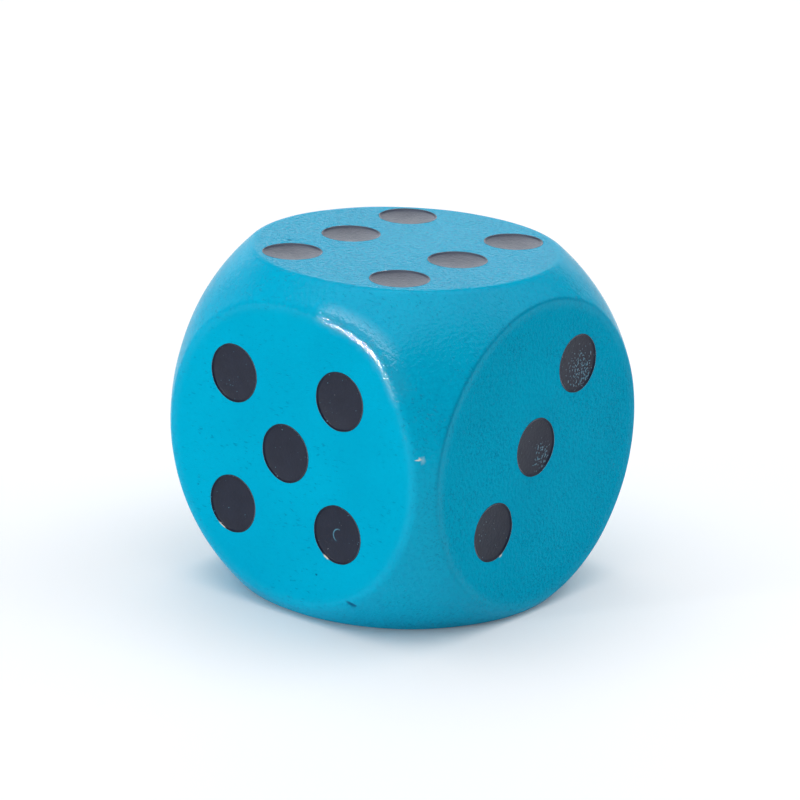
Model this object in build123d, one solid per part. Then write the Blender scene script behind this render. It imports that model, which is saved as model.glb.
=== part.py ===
from build123d import *
import math
import os

# A solid hardwood die: a cube with its edges and corners turned off to a sphere, lacquered all over,
# with a shallow recess for each pip and a film of black paint in each recess.
# The die stands on its one face, with the origin at the middle of that face. The six is on top,
# the five faces -Y and the three faces +X, and opposite faces add up to seven.
# All sizes are in millimetres, and all angles in degrees.

side = 30.0                    # across each pair of flats, over the lacquer
corner_sphere_radius = 20.4    # sphere that rounds the edges and corners
crease_radius = 1.0            # soft crease where a flat meets the sphere
lacquer = 0.12                 # thickness of the blue coat

pip_diameter = 5.16            # rim of a recess
pip_wall = 0.18                # depth of the recess at its rim
pip_dish = 0.22                # how much deeper its dished floor is in the middle
pip_paint = 0.06               # thickness of the black film
pip_step = 5.92                # from a face's middle to its corner pips, across and along
six_step = 7.97                # from the middle row of the six to its end rows

# How each face's pattern was drilled: its sideways shift on the face and its turn.
# The hidden faces are drilled true.
pattern_shift = {1: (0, 0), 2: (0, 0), 3: (-0.28, 0.40), 4: (0, 0), 5: (-0.57, -0.28), 6: (-0.58, 0.20)}
pattern_turn = {1: 0, 2: 0, 3: 3.8, 4: 0, 5: 0.6, 6: 0.8}

number_words = {1: "one", 2: "two", 3: "three", 4: "four", 5: "five", 6: "six"}

half_side = side / 2
pip_radius = pip_diameter / 2
pip_depth = pip_wall + pip_dish
dish_radius = (pip_radius**2 + pip_dish**2) / (2 * pip_dish)
die_middle = Vector(0, 0, half_side)

# Each face's outward normal and its rightward direction, as seen from outside.
face_directions = {
    1: (Vector(0, 0, -1), Vector(-1, 0, 0)),
    2: (Vector(0, 1, 0), Vector(-1, 0, 0)),
    3: (Vector(1, 0, 0), Vector(0, 1, 0)),
    4: (Vector(-1, 0, 0), Vector(0, -1, 0)),
    5: (Vector(0, -1, 0), Vector(1, 0, 0)),
    6: (Vector(0, 0, 1), Vector(1, 0, 0)),
}


def face_plane(number):
    """The plane of one flat, with its Z axis pointing out of the die."""
    normal, right = face_directions[number]
    return Plane(origin=die_middle + normal * half_side, x_dir=right, z_dir=normal)


def true_pattern(number):
    """The pip places of one face, before its shift and turn, as (right, up) on the face."""
    if number == 6:
        return [(x, y) for y in (-six_step, 0, six_step) for x in (-pip_step, pip_step)]
    middle = [(0, 0)] if number % 2 else []
    rising = [(-pip_step, -pip_step), (pip_step, pip_step)] if number > 1 else []
    falling = [(-pip_step, pip_step), (pip_step, -pip_step)] if number > 3 else []
    return middle + rising + falling


def pip_places(number):
    """Where each pip of one face is, as a location whose Z axis points out of the die."""
    turn = math.radians(pattern_turn[number])
    shift_right, shift_up = pattern_shift[number]
    places = []
    for x, y in true_pattern(number):
        right = x * math.cos(turn) - y * math.sin(turn) + shift_right
        up = x * math.sin(turn) + y * math.cos(turn) + shift_up
        places.append(face_plane(number).location * Pos(right, up, 0))
    return places


def rounded_block(inset):
    """The die without its recesses, with its whole surface moved inwards by inset."""
    cube_side = side - 2 * inset
    block = Box(cube_side, cube_side, cube_side) & Sphere(corner_sphere_radius - inset)
    rims = block.edges().filter_by(GeomType.CIRCLE)
    return Pos(*die_middle) * fillet(rims, crease_radius - inset)


def cutter(place, grow=0):
    """The round-ended bit that cuts one recess, at its full depth, with its surface grown by grow."""
    bore = Cylinder(pip_radius + grow, pip_diameter)
    dish = Pos(0, 0, dish_radius - pip_depth) * Sphere(dish_radius + grow)
    return place * (bore & dish)


def recessed_block(inset):
    """The die with its recesses, with its whole surface moved inwards by inset."""
    places = [place for number in number_words for place in pip_places(number)]
    return rounded_block(inset) - [cutter(place, inset) for place in places]


def pip_film(place):
    """The black film that lines one recess and ends level with the flat."""
    below_flat = place * Pos(0, 0, -pip_depth) * Box(2 * pip_diameter, 2 * pip_diameter, 2 * pip_depth)
    return (below_flat & cutter(place)) - cutter(place, -pip_paint)


def save(shape, name):
    """Write one piece, named after its node."""
    piece = shape.solid()
    piece.label = name
    export_step(piece, f"parts/{name}.step")


os.makedirs("parts", exist_ok=True)
wood_block = recessed_block(lacquer)
save(wood_block, "wood_block")
save(recessed_block(0) - wood_block, "blue_coat")
for number, word in number_words.items():
    for index, place in enumerate(pip_places(number), start=1):
        save(pip_film(place), f"{word}_pip_{index}")
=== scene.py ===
import math

import bpy
import numpy as np
from mathutils import Euler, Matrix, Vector, noise
from mathutils.geometry import delaunay_2d_cdt


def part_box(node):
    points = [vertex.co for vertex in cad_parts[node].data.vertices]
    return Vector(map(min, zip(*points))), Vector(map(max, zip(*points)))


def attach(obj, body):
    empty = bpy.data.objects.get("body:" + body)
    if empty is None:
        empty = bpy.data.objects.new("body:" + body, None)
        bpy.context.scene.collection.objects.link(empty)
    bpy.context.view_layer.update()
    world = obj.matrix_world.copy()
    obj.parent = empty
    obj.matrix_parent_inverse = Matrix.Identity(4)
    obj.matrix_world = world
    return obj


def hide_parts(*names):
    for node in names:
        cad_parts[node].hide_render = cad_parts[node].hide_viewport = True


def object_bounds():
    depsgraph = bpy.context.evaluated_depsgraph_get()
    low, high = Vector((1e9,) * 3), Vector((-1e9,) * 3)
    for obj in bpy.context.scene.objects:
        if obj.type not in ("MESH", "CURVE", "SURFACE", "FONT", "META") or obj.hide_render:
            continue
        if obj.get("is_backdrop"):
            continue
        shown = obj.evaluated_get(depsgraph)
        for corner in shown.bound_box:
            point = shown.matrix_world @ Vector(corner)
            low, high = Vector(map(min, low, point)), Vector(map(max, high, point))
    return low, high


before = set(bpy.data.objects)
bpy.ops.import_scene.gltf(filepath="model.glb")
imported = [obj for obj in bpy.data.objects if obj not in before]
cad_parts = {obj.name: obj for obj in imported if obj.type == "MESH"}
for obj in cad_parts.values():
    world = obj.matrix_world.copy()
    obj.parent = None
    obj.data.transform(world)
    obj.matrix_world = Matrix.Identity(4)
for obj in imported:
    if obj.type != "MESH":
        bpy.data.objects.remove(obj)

# The looks of a lacquered wooden die: its blue coat as a fine mesh with softened creases and rounded
# recesses, and a film of black paint in each recess. Lengths here are in millimetres, in the frame's own
# axes, and become metres where a mesh, a light or the camera is made. Angles are in degrees.

MM = 0.001
cad_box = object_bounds()

# ---- The die's sizes, from the frame ----

LOW, HIGH = (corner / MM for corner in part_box("blue_coat"))
MIDDLE = (LOW + HIGH) / 2
HALF = (HIGH.z - LOW.z) / 2
CORNER = max((v.co / MM - MIDDLE).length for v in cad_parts["blue_coat"].data.vertices)
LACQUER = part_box("wood_block")[0].z / MM - LOW.z

# Each face's outward normal and its rightward direction, as seen from outside.
FACES = {
    "one": (Vector((0, 0, -1)), Vector((-1, 0, 0))),
    "two": (Vector((0, 1, 0)), Vector((-1, 0, 0))),
    "three": (Vector((1, 0, 0)), Vector((0, 1, 0))),
    "four": (Vector((-1, 0, 0)), Vector((0, -1, 0))),
    "five": (Vector((0, -1, 0)), Vector((1, 0, 0))),
    "six": (Vector((0, 0, 1)), Vector((1, 0, 0))),
}
PIP_COUNTS = {"one": 1, "two": 2, "three": 3, "four": 4, "five": 5, "six": 6}

# ---- How the lacquer lies ----

CREASE = 1.0            # usual radius of the crease between a flat and the corner ball
CREASES = {"three": 0.6}  # the same, for a face where it is another
CREASE_SWING = 0.25     # how far hand sanding takes that radius up and down, as a share
SWELL = 0.010           # depth of the long waves that sanding leaves
SWELL_RATE = 0.28       # their waves per millimetre
LUMP = 0.003            # depth of the short waves in the lacquer
LUMP_RATE = 1.1
INNER_SKIN = 0.8        # where the coat's inner skin lies, as a share of the lacquer's thickness

# Hand sanding left the ball a little off the middle of the six flats, and fuller or leaner in places:
# each is a direction from the middle, how much the ball gains there, and how far round it reaches in degrees.
BALL_GAIN = 0.05
BALL_SHIFT = (-0.15, 0.30, -0.45)
BALL_PLACES = [
    ((-1, 0, 1), 0.36, 24),
    ((-1, -1, 1), 0.14, 20),
    ((0, 1, 1), -0.24, 24),
    ((0, -1, -1), -0.20, 24),
    ((0.1, -1, 1), -0.16, 14),
    ((0.42, -0.74, 0.52), 0.64, 13),
    ((0.67, -0.74, 0.0), 0.16, 18),
    ((0.35, -0.74, -0.58), 0.12, 18),
]

# Where the crease is softer: a direction from the middle, how much wider it is as a share, and its reach.
SOFT_PLACES = [((0.34, -0.74, 0.58), 1.4, 13)]

# ---- Small flaws ----

# How rough the lacquer lies on the ball and on each flat, and how far inside the crease the two blend.
LAY_BLEND = 0.25
BALL_LAY = 0.38
LAY = {"one": 0.5, "two": 0.45, "three": 0.5, "four": 0.5, "five": 0.18, "six": 1.0}
# How glossy the lacquer is on the ball and its creases, and on each flat, which sanding left duller.
GLOSS_BLEND = 0.40
BALL_GLOSS = 0.09
GLOSS = {"one": 0.04, "two": 0.04, "three": 0.0, "four": 0.04, "five": 0.0, "six": 0.11}
# The stretch of crease where the lacquer stayed full and glossy: its face, the angle round it, half its arc in
# degrees, how far it reaches in and out from the crease's middle, and how rough the lacquer lies there.
FULL_GLOSS = ("five", 55, 20)
FULL_IN = 0.8
FULL_OUT = 1.3
FULL_LAY = 0.36
# Where a rim's lacquer and paint are rubbed off: its pip, the way there from the pip's middle (0 is right and
# 90 up, from outside), half the arc, and how far the bare patch is off the rim and half its width.
BARE_RIMS = [
    ("five", 2, 242, 9, -0.02, 0.032),
    ("five", 5, 243, 6, 0.0, 0.060),
    ("three", 2, 296, 4, 0.09, 0.060),
]
# How much painted sheen lightens the pips of a face: a lighter colour standing in for the grazing reflection on
# the six's pips and, faintly, the three's.
PAINTED_PIP_SHEEN = {"three": 0.08, "six": 0.55}
# Where a pip's paint is thin enough for the lacquer's high spots to show: the pip, the middle of the thin
# patch from the pip's middle, its reach and how thin it is.
THIN_PAINT = [
    ("three", 3, (0.7, -0.7), 2.3, 1.0),
    ("three", 1, (1.0, -0.9), 1.6, 0.95),
    ("three", 2, (-0.3, 0.3), 2.4, 0.15),
    ("five", 1, (0.0, 0.0), 2.4, 0.12),
    ("five", 3, (-0.8, -1.2), 1.6, 0.25),
    ("five", 4, (-0.3, -1.3), 1.8, 0.30),
]
# Nicks in the lacquer: the face, where, along and across half-lengths, the slant and the depth in millimetres.
NICKS = [
    ("five", (7.1, -12.0), 0.50, 0.17, -17, 0.07),
    ("five", (3.2, -10.3), 0.12, 0.08, 0, 0.04),
    ("six", (-8.9, -5.3), 0.20, 0.16, 0, 0.03),
]
# A painted shade line: darker blue along part of one flat's crease, standing in for the crease's shade. Its face,
# the angle of its middle and half its arc in degrees, the arc over which it fades, how far inside the crease's
# middle it lies and its width.
CREASE_SHADE_LINE = ("three", 118, 35, 50, 0.02, 0.14)
# A raised fibre that lost its lacquer, and the ring that a drill's point left in one pip.
FIBRE = ("five", (13.75, 2.5), 0.28, 0.045, 12)
DRILL_RING = ("five", 5, (0.0, -0.10), 0.56, 0.060)

# ---- The recesses ----

PIP_LOW, PIP_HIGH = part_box("one_pip_1")
PIP_BOX = (PIP_HIGH - PIP_LOW) / MM
PIP_RADIUS = PIP_BOX.x / 2
PIP_DEPTH = PIP_BOX.z
PIP_DISH = 0.22         # how much deeper the floor is in the middle than at its rim
WALL_WIDTH = 0.16       # how far in the leaning wall reaches
RIM_SPILL = 0.05        # how far outside the nominal rim the lacquer starts to round over
FILM = 0.08             # thickness of the black film on the floor
FILM_POOL = 0.14        # how much thicker it is in the middle, where the paint pools
FILM_WALL_WIDTH = 0.19  # the film's own wall, which leans more because the paint pools there
FILM_SPILL = 0.015      # how far the film reaches past the nominal rim
FILM_WANDER = 0.035     # how far its outline wanders in long waves
FILM_RIPPLE = 0.012     # and in short ones
FILM_SUNK = 0.005       # how far the film's underside lies below the lacquer

# ---- Mesh spacing ----

# Each pair is the fine spacing of the outer skin and the coarse spacing of the skins inside it.
GRID_STEP = (0.50, 1.5)
EDGE_STEPS = (60, 15)
CREASE_RINGS = (14, 4)
CREASE_SEGMENTS = (220, 64)
PIP_SEGMENTS = (128, 32)
CREASE_BAND = (-0.70, 0.85)  # the crease's rings, in and out from its middle, as a share of its radius
RECESS_MARGIN = 0.22         # how far outside a recess's rim its last ring is
MARK_SHARES = (0.0, 0.3, 0.6, 0.85, 1.1, 1.4)  # the rings round a nick or the fibre, as a share of its size
MARK_SEGMENTS = 20


def face_axes(face):
    """The face's right, up and outward directions."""
    normal, right = FACES[face]
    return right, normal.cross(right), normal


def pip_middle(face, index):
    """Where a pip is on its face, as (right, up) from the face's middle."""
    low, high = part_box(f"{face}_pip_{index}")
    offset = (low + high) / 2 / MM - MIDDLE
    right, up, _ = face_axes(face)
    return offset.dot(right), offset.dot(up)


def to_world(face, points):
    """Face points (right, up, out from the die's middle) as an array in the frame's axes."""
    axes = np.array([list(axis) for axis in face_axes(face)])
    return points @ axes + np.array(MIDDLE)


def wave(points, rate, seed=0.0):
    """Smooth noise from -1 to 1 at each point."""
    shift = Vector((seed, -seed, 0.7 * seed))
    return np.array([noise.noise(Vector(p) * rate + shift) for p in points])


def smooth_step(share):
    """From 0 to 1 with level ends."""
    share = np.clip(share, 0, 1)
    return share * share * (3 - 2 * share)


def gained(ways, places):
    """What a list of places adds in each direction, fading with the angle from each place."""
    total = np.zeros(len(ways))
    for place, gain, spread in places:
        towards = ways @ np.array(Vector(place).normalized())
        apart = np.degrees(np.arccos(np.clip(towards, -1, 1)))
        total += gain * np.exp(-((apart / spread) ** 2))
    return total


def ball_radius(ways):
    """The corner ball's radius in each direction from the middle."""
    return CORNER + BALL_GAIN + ways @ np.array(BALL_SHIFT) + gained(ways, BALL_PLACES)


def flat_reach(face, ways, ball, crease, inset):
    """How far a line from the middle goes before one face's flat, its crease or the ball stops it."""
    out = np.maximum(ways @ np.array(FACES[face][0]), 0.01)
    along = np.sqrt(np.maximum(1 - out**2, 0))
    flat = HALF - inset
    crease = crease * CREASES.get(face, CREASE) - inset
    centre_out = flat - crease
    centre_along = np.sqrt((ball - crease) ** 2 - centre_out**2)
    toward = along * centre_along + out * centre_out
    inside = np.maximum(toward**2 - centre_along**2 - centre_out**2 + crease**2, 0)
    reach = np.where(along > centre_along / (ball - crease), ball, toward + np.sqrt(inside))
    return np.where(flat * along / out < centre_along, flat / out, reach)


def rounded_body(face, flat_points, inset):
    """Takes points on the face's plane, out to the cube's edges, straight in to the rounded body's surface."""
    plane = np.c_[flat_points, np.full(len(flat_points), HALF)]
    length = np.linalg.norm(plane, axis=1)
    ways = (to_world(face, plane) - np.array(MIDDLE)) / length[:, None]
    crease = 1 + CREASE_SWING * wave(ways, 4.5, 4.0) + gained(ways, SOFT_PLACES)
    ball = ball_radius(ways) - inset
    reach = np.min([flat_reach(other, ways, ball, crease, inset) for other in FACES], axis=0)
    return plane / length[:, None] * reach[:, None]


def dish(r):
    """Depth of a recess's dished floor at a distance from its middle."""
    return PIP_DEPTH - PIP_DISH * np.minimum(r / PIP_RADIUS, 1) ** 2


def coat_depth(r):
    """Depth of the lacquered recess: a dished floor, a leaning wall and a rim that rounds over."""
    return dish(r) * smooth_step((PIP_RADIUS + RIM_SPILL - r) / WALL_WIDTH)


def sink(points):
    """How far the surface lies below the nominal one: the waves of sanding and lacquering."""
    long_waves = SWELL * (1 + wave(points, SWELL_RATE, 1.0))
    short_waves = LUMP * (1 + wave(points, LUMP_RATE, 2.0))
    return np.maximum(long_waves + short_waves, 0)


def coat_points(face, flat_points, inset=0.0):
    """The lacquer's surface above each point of the face's plane, with its waves and recesses."""
    local = rounded_body(face, flat_points, inset)
    way = local / np.linalg.norm(local, axis=1)[:, None]
    local = local - way * sink(to_world(face, local))[:, None]
    for index in range(1, PIP_COUNTS[face] + 1):
        r = np.hypot(*(flat_points - np.array(pip_middle(face, index))).T)
        local[:, 2] -= coat_depth(r)
    for marked, place, half_length, half_width, slant, depth in NICKS:
        if marked == face and inset == 0:
            local[:, 2] -= depth * oval(local, face, place, half_length, half_width, slant)
    return local


# ---- The coat's mesh ----


def ring(centre, radius, count):
    """Evenly spaced points round a circle."""
    angle = np.arange(count) * 2 * math.pi / count
    return np.c_[centre[0] + radius * np.cos(angle), centre[1] + radius * np.sin(angle)]


def hex_grid(step):
    """A triangular grid over the face, short of its edges."""
    points = []
    row_step = step * math.sqrt(3) / 2
    rows = int((HALF - step / 2) / row_step)
    columns = int((HALF - step / 2) / step)
    for row in range(-rows, rows + 1):
        nudge = step / 2 if row % 2 else 0
        for column in range(-columns, columns + 1):
            x = column * step + nudge
            if abs(x) < HALF - step / 3:
                points.append((x, row * row_step))
    return np.array(points)


def edge_points(steps):
    """The outline of the face, with the same points as its neighbours' outlines."""
    line = np.linspace(-HALF, HALF, steps + 1)
    end = np.full(steps + 1, HALF)
    sides = [np.c_[line, end], np.c_[line, -end], np.c_[end, line], np.c_[-end, line]]
    return np.unique(np.round(np.vstack(sides), 9), axis=0)


def crease_middle(face, angles):
    """Where the flat would meet the ball with no crease, round the face's middle."""
    radius = np.full(len(angles), math.sqrt(CORNER**2 - HALF**2))
    for _ in range(3):
        plane = np.c_[radius * np.cos(angles), radius * np.sin(angles), np.full(len(angles), HALF)]
        ways = to_world(face, plane) - np.array(MIDDLE)
        ball = ball_radius(ways / np.linalg.norm(ways, axis=1)[:, None])
        radius = np.sqrt(ball**2 - HALF**2)
    return radius


def crease_rings(face, count, segments):
    """Rings that follow the crease, from just inside to just outside it."""
    angles = np.arange(segments) * 2 * math.pi / segments
    middle = crease_middle(face, angles)
    width = CREASES.get(face, CREASE)
    inner, outer = (share * width for share in CREASE_BAND)
    for offset in np.linspace(inner, outer, count):
        radius = np.minimum(middle + offset, HALF - 0.12)
        yield np.c_[radius * np.cos(angles), radius * np.sin(angles)]


def recess_radii():
    """Rings from a recess's middle to outside its rim, close together over the wall."""
    floor = np.linspace(0.5, PIP_RADIUS - 0.35, 5)
    wall = PIP_RADIUS + RIM_SPILL - WALL_WIDTH * np.linspace(1.25, -0.2, 12)
    return np.concatenate([floor, wall, [PIP_RADIUS + RECESS_MARGIN]])


def face_plan(face, coarse):
    """Every mesh point of one face, on its plane."""
    step, segments = GRID_STEP[coarse], PIP_SEGMENTS[coarse]
    grid = hex_grid(step)
    inner, outer = (share * CREASES.get(face, CREASE) for share in CREASE_BAND)
    off = np.hypot(grid[:, 0], grid[:, 1]) - crease_middle(face, np.arctan2(grid[:, 1], grid[:, 0]))
    keep = (off < inner - step / 2) | (off > outer + step / 2)
    rings = list(crease_rings(face, CREASE_RINGS[coarse], CREASE_SEGMENTS[coarse]))
    for index in range(1, PIP_COUNTS[face] + 1):
        centre = pip_middle(face, index)
        near = np.hypot(grid[:, 0] - centre[0], grid[:, 1] - centre[1])
        keep &= near > PIP_RADIUS + RECESS_MARGIN + step / 2
        rings.append(np.array([centre]))
        rings += [ring(centre, r, segments if r > PIP_RADIUS / 2 else segments // 4) for r in recess_radii()]
    marks = [mark[1:] for mark in (*NICKS, FIBRE) if mark[0] == face and not coarse]
    for place, half_length, half_width, slant, *_ in marks:
        turn = math.radians(slant)
        along, across = ring((0, 0), 1, MARK_SEGMENTS).T
        for share in MARK_SHARES:
            x, y = along * half_length * share, across * half_width * share
            rings.append(np.c_[place[0] + x * math.cos(turn) - y * math.sin(turn),
                               place[1] + x * math.sin(turn) + y * math.cos(turn)])
    return np.vstack([grid[keep], edge_points(EDGE_STEPS[coarse]), *rings])


def face_patch(face, coarse, inset):
    """One face's points in the frame, and its triangles."""
    plan = face_plan(face, coarse)
    flat_verts, _, triangles, *_ = delaunay_2d_cdt([Vector(p) for p in plan], [], [], 0, 1e-7)
    flat_points = np.array([list(v) for v in flat_verts])
    return to_world(face, coat_points(face, flat_points, inset)), triangles


def shell(inset, coarse, inward):
    """The whole coat's outer or inner skin, its six faces joined along their edges."""
    points, triangles, seen = [], [], {}
    for face in FACES:
        patch, patch_triangles = face_patch(face, coarse, inset)
        numbers = []
        for p in patch:
            key = tuple(np.round(p, 5))
            if key not in seen:
                seen[key] = len(points)
                points.append(p)
            numbers.append(seen[key])
        for triangle in patch_triangles:
            corners = [numbers[i] for i in triangle]
            if len(set(corners)) == 3:
                triangles.append(corners[::-1] if inward else corners)
    return points, triangles


def in_face(face, points):
    """Points in the frame as (right, up, out) from the die's middle, for one face."""
    return (points - np.array(MIDDLE)) @ np.array([list(axis) for axis in face_axes(face)]).T


def spot(across, half_width):
    """From 1 in the middle of a mark to 0 outside it."""
    return 1 - smooth_step((np.abs(across) - 0.6 * half_width) / (0.8 * half_width))


def oval(local, face, place, half_length, half_width, slant):
    """From 1 in the middle of an oval mark on a face to 0 outside it."""
    turn = math.radians(slant)
    x, y = local[:, 0] - place[0], local[:, 1] - place[1]
    along = (x * math.cos(turn) + y * math.sin(turn)) / half_length
    across = (y * math.cos(turn) - x * math.sin(turn)) / half_width
    return np.where(local[:, 2] > HALF - 2.0, spot(np.hypot(along, across), 1.0), 0.0)


def bare_share(points):
    """How bare the wood is at each point: 1 where the lacquer is gone."""
    bare = np.zeros(len(points))
    for face, index, way, half_arc, off, half_width in BARE_RIMS:
        local = in_face(face, points)
        x, y = (local[:, :2] - np.array(pip_middle(face, index))).T
        turned = (np.degrees(np.arctan2(y, x)) - way + 180) % 360 - 180
        patch = spot(turned, half_arc) * spot(np.hypot(x, y) - PIP_RADIUS - off, half_width)
        bare = np.maximum(bare, np.where(local[:, 2] > HALF - 1.0, patch, 0.0))
    face, place, half_length, half_width, slant = FIBRE
    return np.maximum(bare, oval(in_face(face, points), face, place, half_length, half_width, slant))


def nick_share(points):
    """How deep in a nick each point is, from 0 to 1."""
    nicks = [oval(in_face(face, points), face, *mark[:-1]) for face, *mark in NICKS]
    return np.max(nicks, axis=0)


def thin_share(points):
    """How thin the black paint is at each point, from 0 to 1."""
    thin = np.zeros(len(points))
    for face, index, place, reach, share in THIN_PAINT:
        local = in_face(face, points)
        apart = np.linalg.norm(local[:, :2] - np.array(pip_middle(face, index)) - np.array(place), axis=1)
        patch = share * (1 - smooth_step(apart / reach - 0.25))
        thin = np.maximum(thin, np.where(local[:, 2] > HALF - 1.0, patch, 0.0))
    return thin


def by_region(points, on_ball, on_flats, inner):
    """A number that is one thing on the ball and another on each flat, and blends that far inside the crease."""
    share = np.full(len(points), on_ball)
    for face, on_flat in on_flats.items():
        local = in_face(face, points)
        rho = np.hypot(local[:, 0], local[:, 1])
        middle = crease_middle(face, np.arctan2(local[:, 1], local[:, 0]))
        inside = smooth_step((middle - inner - rho) / 0.5) * (local[:, 2] > HALF - 1.0)
        share += (on_flat - on_ball) * inside
    return share


def full_share(points):
    """How near each point is to the stretch of crease where the lacquer stayed full."""
    face, place, half_arc = FULL_GLOSS
    local = in_face(face, points)
    angle = np.arctan2(local[:, 1], local[:, 0])
    off = np.hypot(local[:, 0], local[:, 1]) - crease_middle(face, angle)
    across = smooth_step((off + FULL_IN) / 0.3) * smooth_step((FULL_OUT - off) / 1.1)
    on_this_side = local[:, 2] > HALF - 3.0
    return smooth_step(1.6 * spot(np.degrees(angle) - place, half_arc)) * across * on_this_side


def crease_shade_share(points):
    """How near each point is to the painted shade line along the crease, from 0 to 1."""
    face, way, half_arc, fade, inside, width = CREASE_SHADE_LINE
    local = in_face(face, points)
    angle = np.arctan2(local[:, 1], local[:, 0])
    off = np.hypot(local[:, 0], local[:, 1]) - crease_middle(face, angle)
    turned = np.abs(np.degrees(angle) - way)
    line = np.exp(-(((off + inside) / width) ** 2))
    return line * (1 - smooth_step((turned - half_arc) / fade)) * (local[:, 2] > HALF - 2.0)


def add_share(piece, name, values):
    """Gives a piece's mesh a number for each point, which its material reads."""
    attribute = piece.data.attributes.new(name, "FLOAT", "POINT")
    attribute.data.foreach_set("value", np.asarray(values, dtype=np.float32))


def make_piece(name, points, triangles, materials, slot, *nodes):
    """A smooth mesh piece on the die's one body, standing for these CAD nodes."""
    mesh = bpy.data.meshes.new(name)
    mesh.from_pydata([tuple(float(c) * MM for c in p) for p in points], [], triangles)
    mesh.shade_smooth()
    for material in materials:
        mesh.materials.append(material)
    piece = bpy.data.objects.new(name, mesh)
    bpy.context.scene.collection.objects.link(piece)
    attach(piece, "root")
    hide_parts(*nodes)
    return piece


def make_coat(material):
    """The blue lacquer as a thin closed skin."""
    outer_points, outer_triangles = shell(0.0, coarse=False, inward=False)
    inner_points, inner_triangles = shell(LACQUER * INNER_SKIN, coarse=True, inward=True)
    offset = len(outer_points)
    inner_triangles = [[i + offset for i in triangle] for triangle in inner_triangles]
    points = np.array(outer_points + inner_points)
    piece = make_piece("lacquer_coat", points, outer_triangles + inner_triangles,
                       [material], "blue_lacquer", "blue_coat")
    # The shares mark bare wood, nicks, and the painted shade line along one crease.
    for name, share in (("bare", bare_share), ("nick", nick_share), ("crease_shade", crease_shade_share)):
        add_share(piece, name, share(points))
    full = full_share(points)
    lay = by_region(points, BALL_LAY, LAY, LAY_BLEND)
    gloss = by_region(points, BALL_GLOSS, GLOSS, GLOSS_BLEND)
    add_share(piece, "lay", lay + (FULL_LAY - lay) * full)
    add_share(piece, "gloss", gloss + (1.0 - gloss) * full)


def make_wood(material):
    """The wooden block, which follows the coat from inside."""
    points, triangles = shell(LACQUER, coarse=True, inward=False)
    make_piece("wood_core", points, triangles, [material], "wood", "wood_block")


# ---- The pip films ----


def film_depth(r, edge):
    """Depth of the black film's surface: it climbs the wall and ends level with the lacquer at its edge."""
    pool = FILM_POOL * (1 - np.minimum(r / PIP_RADIUS, 1) ** 2)
    return (dish(r) - FILM - pool) * smooth_step((edge - r) / FILM_WALL_WIDTH)


def make_film(face, index, material):
    """One pip's paint as a thin closed film, with a slightly uneven outline."""
    centre = np.array(pip_middle(face, index))
    seed = 10 * PIP_COUNTS[face] + index
    segments = PIP_SEGMENTS[0]
    angle = np.arange(segments) * 2 * math.pi / segments
    circle = np.c_[np.cos(angle), np.sin(angle), np.zeros(segments)]
    wander = FILM_WANDER * wave(circle, 2.2, seed) + FILM_RIPPLE * wave(circle, 9.0, seed)
    edge = PIP_RADIUS + FILM_SPILL + wander
    top_shares = np.concatenate([np.linspace(0.06, 0.90, 15), np.linspace(0.92, 1.0, 9)])
    under_shares = np.array([0.97, 0.92, 0.6])
    flat, drop = [centre[None, :]], [np.array([film_depth(0.0, PIP_RADIUS)])]
    for share in top_shares:
        r = share * edge
        flat.append(centre + circle[:, :2] * r[:, None])
        drop.append(film_depth(r, edge))
    for share in under_shares:
        r = share * edge
        flat.append(centre + circle[:, :2] * r[:, None])
        drop.append(coat_depth(r) + FILM_SUNK)
    flat.append(centre[None, :])
    drop.append(np.array([coat_depth(0.0) + FILM_SUNK]))
    flat, drop = np.vstack(flat), np.concatenate(drop)
    local = rounded_body(face, flat, 0.0)
    way = local / np.linalg.norm(local, axis=1)[:, None]
    local = local - way * sink(to_world(face, local))[:, None]
    local[:, 2] -= drop
    rings = len(top_shares) + len(under_shares)
    last = len(local) - 1
    triangles = []
    for j in range(segments):
        k = (j + 1) % segments
        triangles.append([0, 1 + j, 1 + k])
        for i in range(rings - 1):
            a, b = 1 + i * segments, 1 + (i + 1) * segments
            triangles.append([a + j, b + j, b + k, a + k])
        a = 1 + (rings - 1) * segments
        triangles.append([a + j, last, a + k])
    name = f"{face}_pip_{index}"
    points = to_world(face, local)
    piece = make_piece(f"{name}_paint", points, triangles, [material], "black_paint", name)
    add_share(piece, "bare", bare_share(points))
    add_share(piece, "thin", thin_share(points))
    # Painted sheen: each pip carries its face's share of a lighter colour standing in for reflection.
    add_share(piece, "painted_sheen", np.full(len(points), PAINTED_PIP_SHEEN.get(face, 0.0)))


# ---- Materials ----

# The lacquer's shades, as linear red, green and blue, from its own blue to what is seen in a nick or a bare place,
# with a darker blue painted as shade along one crease.
BLUE = ((0.0, 0.352, 0.550), (0.0, 0.380, 0.585))
BLUE_SPECKLE = (0.0, 0.27, 0.47)
BLUE_MARK = (0.0, 0.19, 0.34)
PAINTED_CREASE_SHADE = (0.0, 0.17, 0.31)
BLUE_NICK = (0.0, 0.06, 0.16)
BARE_WOOD = (0.80, 0.72, 0.60)
# The black paint's, with the lacquer that shows through it, dust, a painted sheen that lightens the pips of some
# faces, and bare wood at its rim.
BLACK = ((0.003, 0.006, 0.020), (0.006, 0.010, 0.027))
LACQUER_SPECK = (0.10, 0.33, 0.46)
DUST = (0.45, 0.47, 0.52)
PAINTED_SHEEN_GREY = (0.085, 0.10, 0.14)
BARE_RIM = (0.80, 0.68, 0.54)
# The sanded wood's, and its pores.
WOOD = ((0.60, 0.42, 0.25), (0.76, 0.59, 0.39))
WOOD_PORE = (0.38, 0.25, 0.14)


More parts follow.
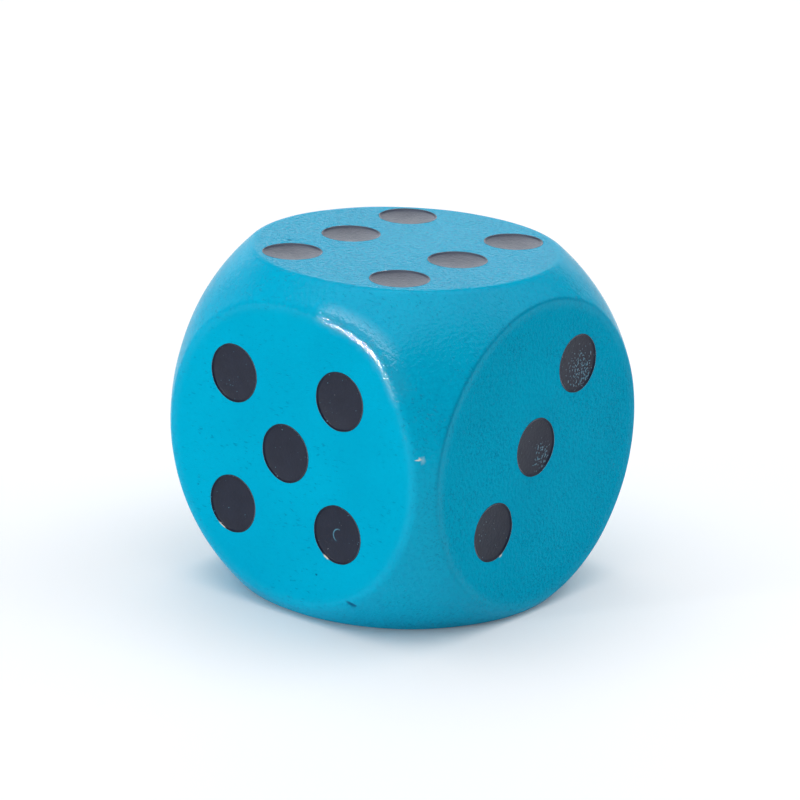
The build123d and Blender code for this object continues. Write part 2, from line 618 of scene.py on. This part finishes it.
class Nodes:
    """Short ways to add and join one material's nodes."""

    def __init__(self, name):
        self.material = bpy.data.materials.new(name)
        self.material.use_nodes = True
        self.tree = self.material.node_tree
        self.shader = self.tree.nodes["Principled BSDF"]
        coordinates = self.tree.nodes.new("ShaderNodeTexCoord")
        scale = self.add("ShaderNodeVectorMath", operation="SCALE")
        scale.inputs["Scale"].default_value = 1 / MM
        self.join(coordinates.outputs["Object"], scale.inputs[0])
        self.place = scale.outputs[0]

    def add(self, kind, **settings):
        node = self.tree.nodes.new(kind)
        for key, value in settings.items():
            setattr(node, key, value)
        return node

    def join(self, start, end):
        self.tree.links.new(start, end)

    def stretched(self, factors):
        """The place in millimetres, multiplied along each axis."""
        node = self.add("ShaderNodeVectorMath", operation="MULTIPLY")
        self.join(self.place, node.inputs[0])
        node.inputs[1].default_value = factors
        return node.outputs[0]

    def noise(self, scale, detail=2.0, roughness=0.5, place=None):
        node = self.add("ShaderNodeTexNoise")
        self.join(place or self.place, node.inputs["Vector"])
        node.inputs["Scale"].default_value = scale
        node.inputs["Detail"].default_value = detail
        node.inputs["Roughness"].default_value = roughness
        return node.outputs["Fac"]

    def spread(self, value, low, high, to_low, to_high):
        """Maps a range of one value onto another, and stops at its ends."""
        node = self.add("ShaderNodeMapRange")
        self.join(value, node.inputs["Value"])
        for key, number in zip(("From Min", "From Max", "To Min", "To Max"), (low, high, to_low, to_high)):
            node.inputs[key].default_value = number
        return node.outputs["Result"]

    def math(self, operation, first, second):
        node = self.add("ShaderNodeMath", operation=operation)
        for socket, value in zip(node.inputs, (first, second)):
            if isinstance(value, (int, float)):
                socket.default_value = value
            else:
                self.join(value, socket)
        return node.outputs[0]

    def mix(self, factor, first, second):
        """Mixes two colours, each a socket or a red, green and blue."""
        node = self.add("ShaderNodeMix", data_type="RGBA")
        self.join(factor, node.inputs["Factor"])
        for socket, value in zip((node.inputs[6], node.inputs[7]), (first, second)):
            if isinstance(value, tuple):
                socket.default_value = (*value, 1)
            else:
                self.join(value, socket)
        return node.outputs[2]

    def share(self, name):
        """A number that the mesh carries for each point."""
        return self.add("ShaderNodeAttribute", attribute_name=name).outputs["Fac"]

    def along_x(self):
        """How far along X the place is from the die's middle, in millimetres."""
        node = self.add("ShaderNodeSeparateXYZ")
        self.join(self.place, node.inputs[0])
        return node.outputs["X"]

    def bump(self, height, distance, strength=1.0, under=None):
        node = self.add("ShaderNodeBump")
        self.join(height, node.inputs["Height"])
        node.inputs["Distance"].default_value = distance * MM
        if isinstance(strength, float):
            node.inputs["Strength"].default_value = strength
        else:
            self.join(strength, node.inputs["Strength"])
        if under is not None:
            self.join(under, node.inputs["Normal"])
        return node.outputs["Normal"]


def drill_ring(m):
    """The arc that a drill's point left in one pip, from 0 to 1."""
    face, index, place, radius, half_width = DRILL_RING
    right, up, normal = face_axes(face)
    x, y = pip_middle(face, index)
    middle = MIDDLE + right * (x + place[0]) + up * (y + place[1]) + normal * (HALF - PIP_DEPTH / 2)
    away = m.add("ShaderNodeVectorMath", operation="SUBTRACT")
    m.join(m.place, away.inputs[0])
    away.inputs[1].default_value = middle
    apart = m.add("ShaderNodeVectorMath", operation="LENGTH")
    m.join(away.outputs[0], apart.inputs[0])
    off = m.math("ABSOLUTE", m.math("SUBTRACT", apart.outputs["Value"], radius), 0)
    side = m.add("ShaderNodeVectorMath", operation="DOT_PRODUCT")
    m.join(away.outputs[0], side.inputs[0])
    side.inputs[1].default_value = right * -0.95 + up * 0.3
    arc = m.spread(side.outputs["Value"], -0.05, 0.35, 0.0, 1.0)
    return m.math("MULTIPLY", m.spread(off, 0.4 * half_width, 1.3 * half_width, 1.0, 0.0), arc)


def blue_lacquer():
    """Blue lacquer under its own gloss, with orange peel, the grain's pores, a painted shade line along one
    crease, and wood where it is rubbed off.
    """
    m = Nodes("blue_lacquer")
    end_grain = m.spread(m.math("ABSOLUTE", m.along_x(), 0), 12.5, 14.6, 0.0, 1.0)
    dots = m.spread(m.noise(3.6, 2.0, 0.6), 0.57, 0.64, 0.0, 1.0)
    patches = m.spread(m.noise(0.22, 2.0), 0.38, 0.62, 0.15, 1.0)
    pores = m.math("MULTIPLY", m.math("MULTIPLY", dots, patches), end_grain)
    dashes = m.spread(m.noise(1.0, 2.0, 0.6, m.stretched((1.5, 5.0, 5.0))), 0.61, 0.67, 0.0, 0.95)
    marks = m.math("MAXIMUM", m.math("MULTIPLY", pores, 0.8), m.math("MULTIPLY", dashes, patches))
    base = m.mix(m.spread(m.noise(0.12, 2.0), 0.35, 0.65, 0.0, 1.0), *BLUE)
    speckle = m.spread(m.noise(3.0, 2.0, 0.6), 0.46, 0.64, 0.0, 0.8)
    base = m.mix(m.math("MULTIPLY", speckle, m.share("lay")), base, BLUE_SPECKLE)
    colour = m.mix(m.math("MULTIPLY", marks, 0.55), base, BLUE_MARK)
    # Painted shade: a darker blue along part of the three's crease.
    colour = m.mix(m.math("MULTIPLY", m.share("crease_shade"), 0.42), colour, PAINTED_CREASE_SHADE)
    colour = m.mix(m.math("MULTIPLY", m.share("nick"), 0.8), colour, BLUE_NICK)
    colour = m.mix(m.share("bare"), colour, BARE_WOOD)
    m.join(colour, m.shader.inputs["Base Color"])
    m.shader.inputs["Specular IOR Level"].default_value = 0.008
    m.shader.inputs["Specular Tint"].default_value = (0.35, 0.8, 1.0, 1.0)
    m.join(m.spread(m.noise(0.9, 3.0), 0.3, 0.7, 0.12, 0.2), m.shader.inputs["Roughness"])
    m.join(m.share("gloss"), m.shader.inputs["Coat Weight"])
    m.shader.inputs["Coat Roughness"].default_value = 0.06
    m.shader.inputs["Coat IOR"].default_value = 1.8
    lay = m.share("lay")
    lumps = m.bump(m.noise(3.0, 1.0, 0.5), 0.14, strength=lay)
    fine = m.bump(m.noise(7.0, 1.0, 0.5), 0.05, strength=lay, under=lumps)
    surface = m.bump(marks, -0.02, under=fine)
    m.join(surface, m.shader.inputs["Normal"])
    m.join(surface, m.shader.inputs["Coat Normal"])
    return m.material


def black_paint():
    """Matte black paint, with specks of lacquer where it is thin, dust lying on it, and a painted sheen on the
    pips of some faces.
    """
    m = Nodes("black_paint")
    shade = m.noise(0.8, 3.0)
    base = m.mix(m.spread(shade, 0.3, 0.7, 0.0, 1.0), *BLACK)
    grain = m.noise(5.2, 0.5, 0.4)
    thin = m.math("MULTIPLY", m.share("thin"), 0.21)
    over = m.math("SUBTRACT", m.math("ADD", grain, thin), 0.78)
    specks = m.spread(over, 0.0, 0.05, 0.0, 0.62)
    specks = m.math("MAXIMUM", specks, m.math("MULTIPLY", drill_ring(m), 0.65))
    colour = m.mix(specks, base, LACQUER_SPECK)
    dust = m.spread(m.noise(3.1, 1.0, 0.4), 0.78, 0.80, 0.0, 0.3)
    colour = m.mix(dust, colour, DUST)
    # Painted sheen: lighter grey on the six's pips, and faintly the three's, standing in for grazing reflection.
    colour = m.mix(m.share("painted_sheen"), colour, PAINTED_SHEEN_GREY)
    m.join(m.mix(m.share("bare"), colour, BARE_RIM), m.shader.inputs["Base Color"])
    m.shader.inputs["Specular IOR Level"].default_value = 0.14
    m.shader.inputs["Coat Weight"].default_value = 0.16
    m.shader.inputs["Coat Roughness"].default_value = 0.3
    m.shader.inputs["Sheen Weight"].default_value = 1.0
    m.shader.inputs["Sheen Roughness"].default_value = 0.25
    m.shader.inputs["Sheen Tint"].default_value = (0.80, 0.86, 1.0, 1.0)
    m.join(m.spread(m.noise(2.2, 2.0), 0.3, 0.7, 0.30, 0.42), m.shader.inputs["Roughness"])
    rough = m.bump(m.noise(3.6, 3.0, 0.6), 0.035)
    m.join(m.bump(specks, 0.03, under=rough), m.shader.inputs["Normal"])
    return m.material


def bare_wood():
    """The sanded hardwood inside the lacquer, with its fibres along X."""
    m = Nodes("bare_wood")
    figure = m.noise(0.12, 3.0, 0.5, m.stretched((0.2, 1.0, 1.0)))
    rings = m.add("ShaderNodeTexWave", wave_type="RINGS", rings_direction="X")
    m.join(m.stretched((0.15, 1.0, 1.0)), rings.inputs["Vector"])
    rings.inputs["Scale"].default_value = 0.22
    rings.inputs["Distortion"].default_value = 2.5
    grain = m.noise(1.0, 4.0, 0.6, m.stretched((0.3, 4.0, 4.0)))
    tone = m.math("ADD", m.math("MULTIPLY", rings.outputs["Fac"], 0.4), m.math("MULTIPLY", figure, 0.6))
    base = m.mix(m.spread(tone, 0.2, 0.8, 0.0, 1.0), *WOOD)
    pores = m.math("MULTIPLY", m.spread(grain, 0.58, 0.68, 0.0, 1.0), 0.5)
    m.join(m.mix(pores, base, WOOD_PORE), m.shader.inputs["Base Color"])
    m.join(m.spread(grain, 0.3, 0.7, 0.55, 0.75), m.shader.inputs["Roughness"])
    m.join(m.bump(grain, 0.03), m.shader.inputs["Normal"])
    return m.material


def pale_floor():
    """A plain near-white studio floor."""
    m = Nodes("pale_floor")
    m.join(m.mix(m.noise(0.01), (0.86, 0.86, 0.86), (0.88, 0.88, 0.88)), m.shader.inputs["Base Color"])
    m.shader.inputs["Roughness"].default_value = 0.6
    m.shader.inputs["Emission Color"].default_value = (1, 1, 1, 1)
    m.shader.inputs["Emission Strength"].default_value = FLOOR_GLOW
    return m.material


# ---- The studio ----

CAMERA_AZIMUTH = 38.895
CAMERA_ELEVATION = 18.313
CAMERA_DISTANCE = 341.9
CAMERA_TRIM = (0.181, 0.035, 1.773)   # the camera's own small tilt, turn and roll
CAMERA_LENS = 175.18
CAMERA_SENSOR = 36
FLOOR_REACH = 4.0                     # in metres, from the die out to each side
FLOOR_GLOW = 0.08
SKY = 0.12


def direction(azimuth, elevation):
    """From the die towards a place round it. Azimuth 0 is the five's side, and 90 the three's."""
    a, e = math.radians(azimuth), math.radians(elevation)
    return Vector((math.sin(a) * math.cos(e), -math.cos(a) * math.cos(e), math.sin(e)))


def aim(item, azimuth, elevation, distance, trim=(0, 0, 0)):
    """Puts an item round the die, looking at its middle."""
    away = direction(azimuth, elevation)
    item.location = (MIDDLE + away * distance) * MM
    turn = away.to_track_quat("Z", "Y") @ Euler([math.radians(t) for t in trim]).to_quaternion()
    item.rotation_euler = turn.to_euler()
    bpy.context.scene.collection.objects.link(item)


def make_camera():
    """The photograph's own viewpoint."""
    lens = bpy.data.cameras.new("camera")
    lens.lens = CAMERA_LENS
    lens.sensor_width = CAMERA_SENSOR
    lens.clip_start = 0.01
    camera = bpy.data.objects.new("camera", lens)
    aim(camera, CAMERA_AZIMUTH, CAMERA_ELEVATION, CAMERA_DISTANCE, CAMERA_TRIM)
    bpy.context.scene.camera = camera


def softbox(name, azimuth, elevation, distance, width, height, radiance, tint=(1.0, 1.0, 1.0)):
    """A rectangular light whose face has the given radiance, whatever its size."""
    light = bpy.data.lights.new(name, "AREA")
    light.shape = "RECTANGLE"
    light.color = tint
    light.size = width * MM
    light.size_y = height * MM
    light.energy = radiance * math.pi * light.size * light.size_y
    aim(bpy.data.objects.new(name, light), azimuth, elevation, distance)


def make_studio():
    """A pale floor, an even sky, a narrow key light and five soft ones."""
    reach = FLOOR_REACH
    corners = [(-reach, -reach, 0), (reach, -reach, 0), (reach, reach, 0), (-reach, reach, 0)]
    mesh = bpy.data.meshes.new("floor")
    mesh.from_pydata(corners, [], [(0, 1, 2, 3)])
    mesh.materials.append(pale_floor())
    floor = bpy.data.objects.new("floor", mesh)
    bpy.context.scene.collection.objects.link(floor)
    floor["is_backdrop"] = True

    world = bpy.data.worlds.new("studio")
    world.use_nodes = True
    world.node_tree.nodes["Background"].inputs["Color"].default_value = (1, 1, 1, 1)
    world.node_tree.nodes["Background"].inputs["Strength"].default_value = SKY
    bpy.context.scene.world = world

    softbox("key_strip", -23, 4, 600, 46, 13, 820.0)
    softbox("front_softbox", -35, 38, 700, 800, 420, 0.25)
    softbox("left_panel", -90, 14, 700, 560, 330, 0.8)
    softbox("right_softbox", 135, 38, 700, 700, 420, 1.4)
    softbox("back_panel", 219, 11, 900, 1100, 300, 1.7, (0.98, 1.0, 1.02))
    softbox("top_softbox", 0, 88, 700, 1000, 1000, 1.95, (0.98, 1.0, 1.04))
    bpy.context.scene.view_settings.view_transform = "Standard"


# ---- Everything together ----

make_camera()
make_studio()
make_coat(blue_lacquer())
film_paint = black_paint()
for face, count in PIP_COUNTS.items():
    for index in range(1, count + 1):
        make_film(face, index, film_paint)
make_wood(bare_wood())

boxes = {"cad": cad_box, "visual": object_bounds()}
{name: [list(corner) for corner in box] for name, box in boxes.items()}
